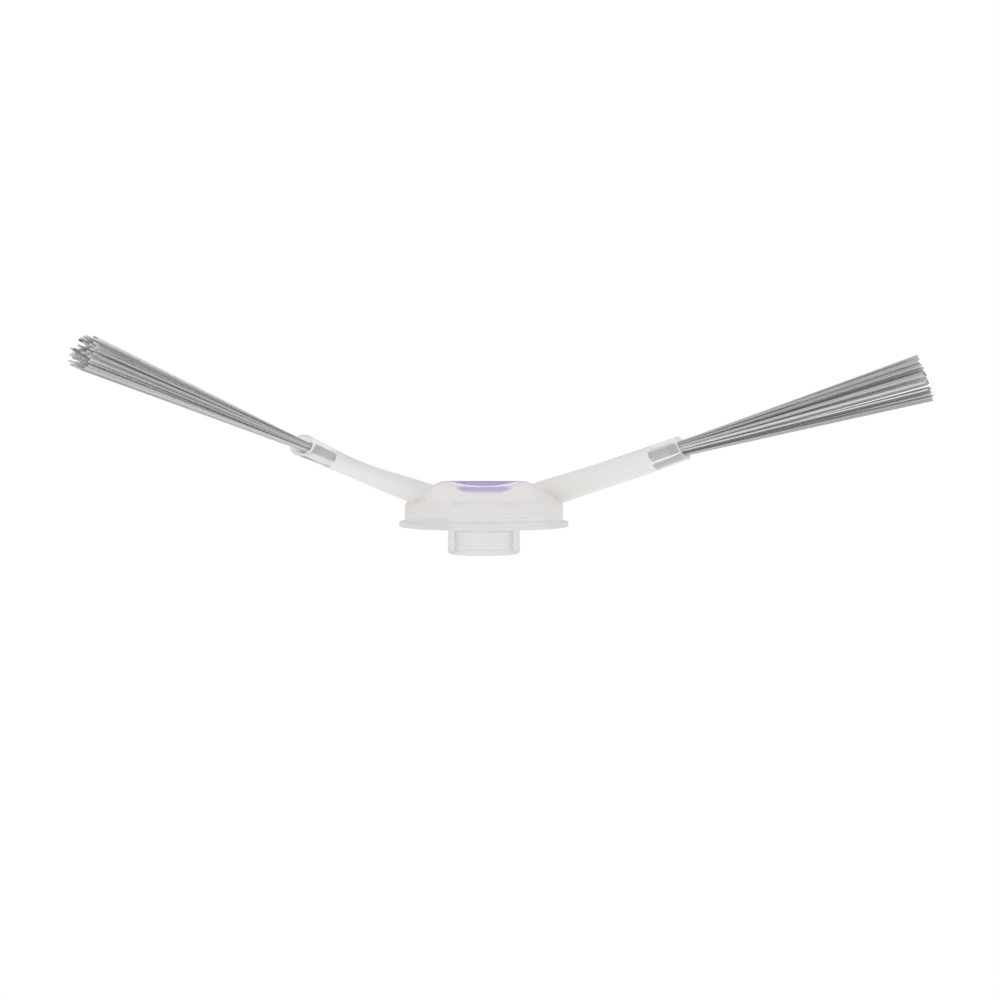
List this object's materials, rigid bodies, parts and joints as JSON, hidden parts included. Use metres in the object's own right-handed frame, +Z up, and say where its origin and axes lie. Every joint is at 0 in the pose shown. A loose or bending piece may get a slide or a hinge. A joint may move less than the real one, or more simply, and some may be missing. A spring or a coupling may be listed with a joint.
{
  "type": "robot vacuum side brush",
  "caption": "Side brush for a robot vacuum: soft milky hub with swept arms that rise to bristle tufts, a clear drive boss below and a dished purple cap on top.",
  "frame": {"origin": "centre of the drive boss's lower end, on the spin axis", "axes": "+Z up along the spin axis from the boss to the cap, X across both arms, and both arms sweep towards -Y"},
  "size_m": [0.1351, 0.0648, 0.0349],
  "materials": {
    "milky_elastomer": "satin",
    "clear_plastic": "gloss",
    "purple_plastic": "gloss",
    "grey_nylon": "satin"
  },
  "bodies": {
    "root": {"soft_body": "milky_elastomer", "drive_core": "clear_plastic", "centre_cap": "purple_plastic", "left_tuft": "grey_nylon", "right_tuft": "grey_nylon"}
  },
  "joints": []
}
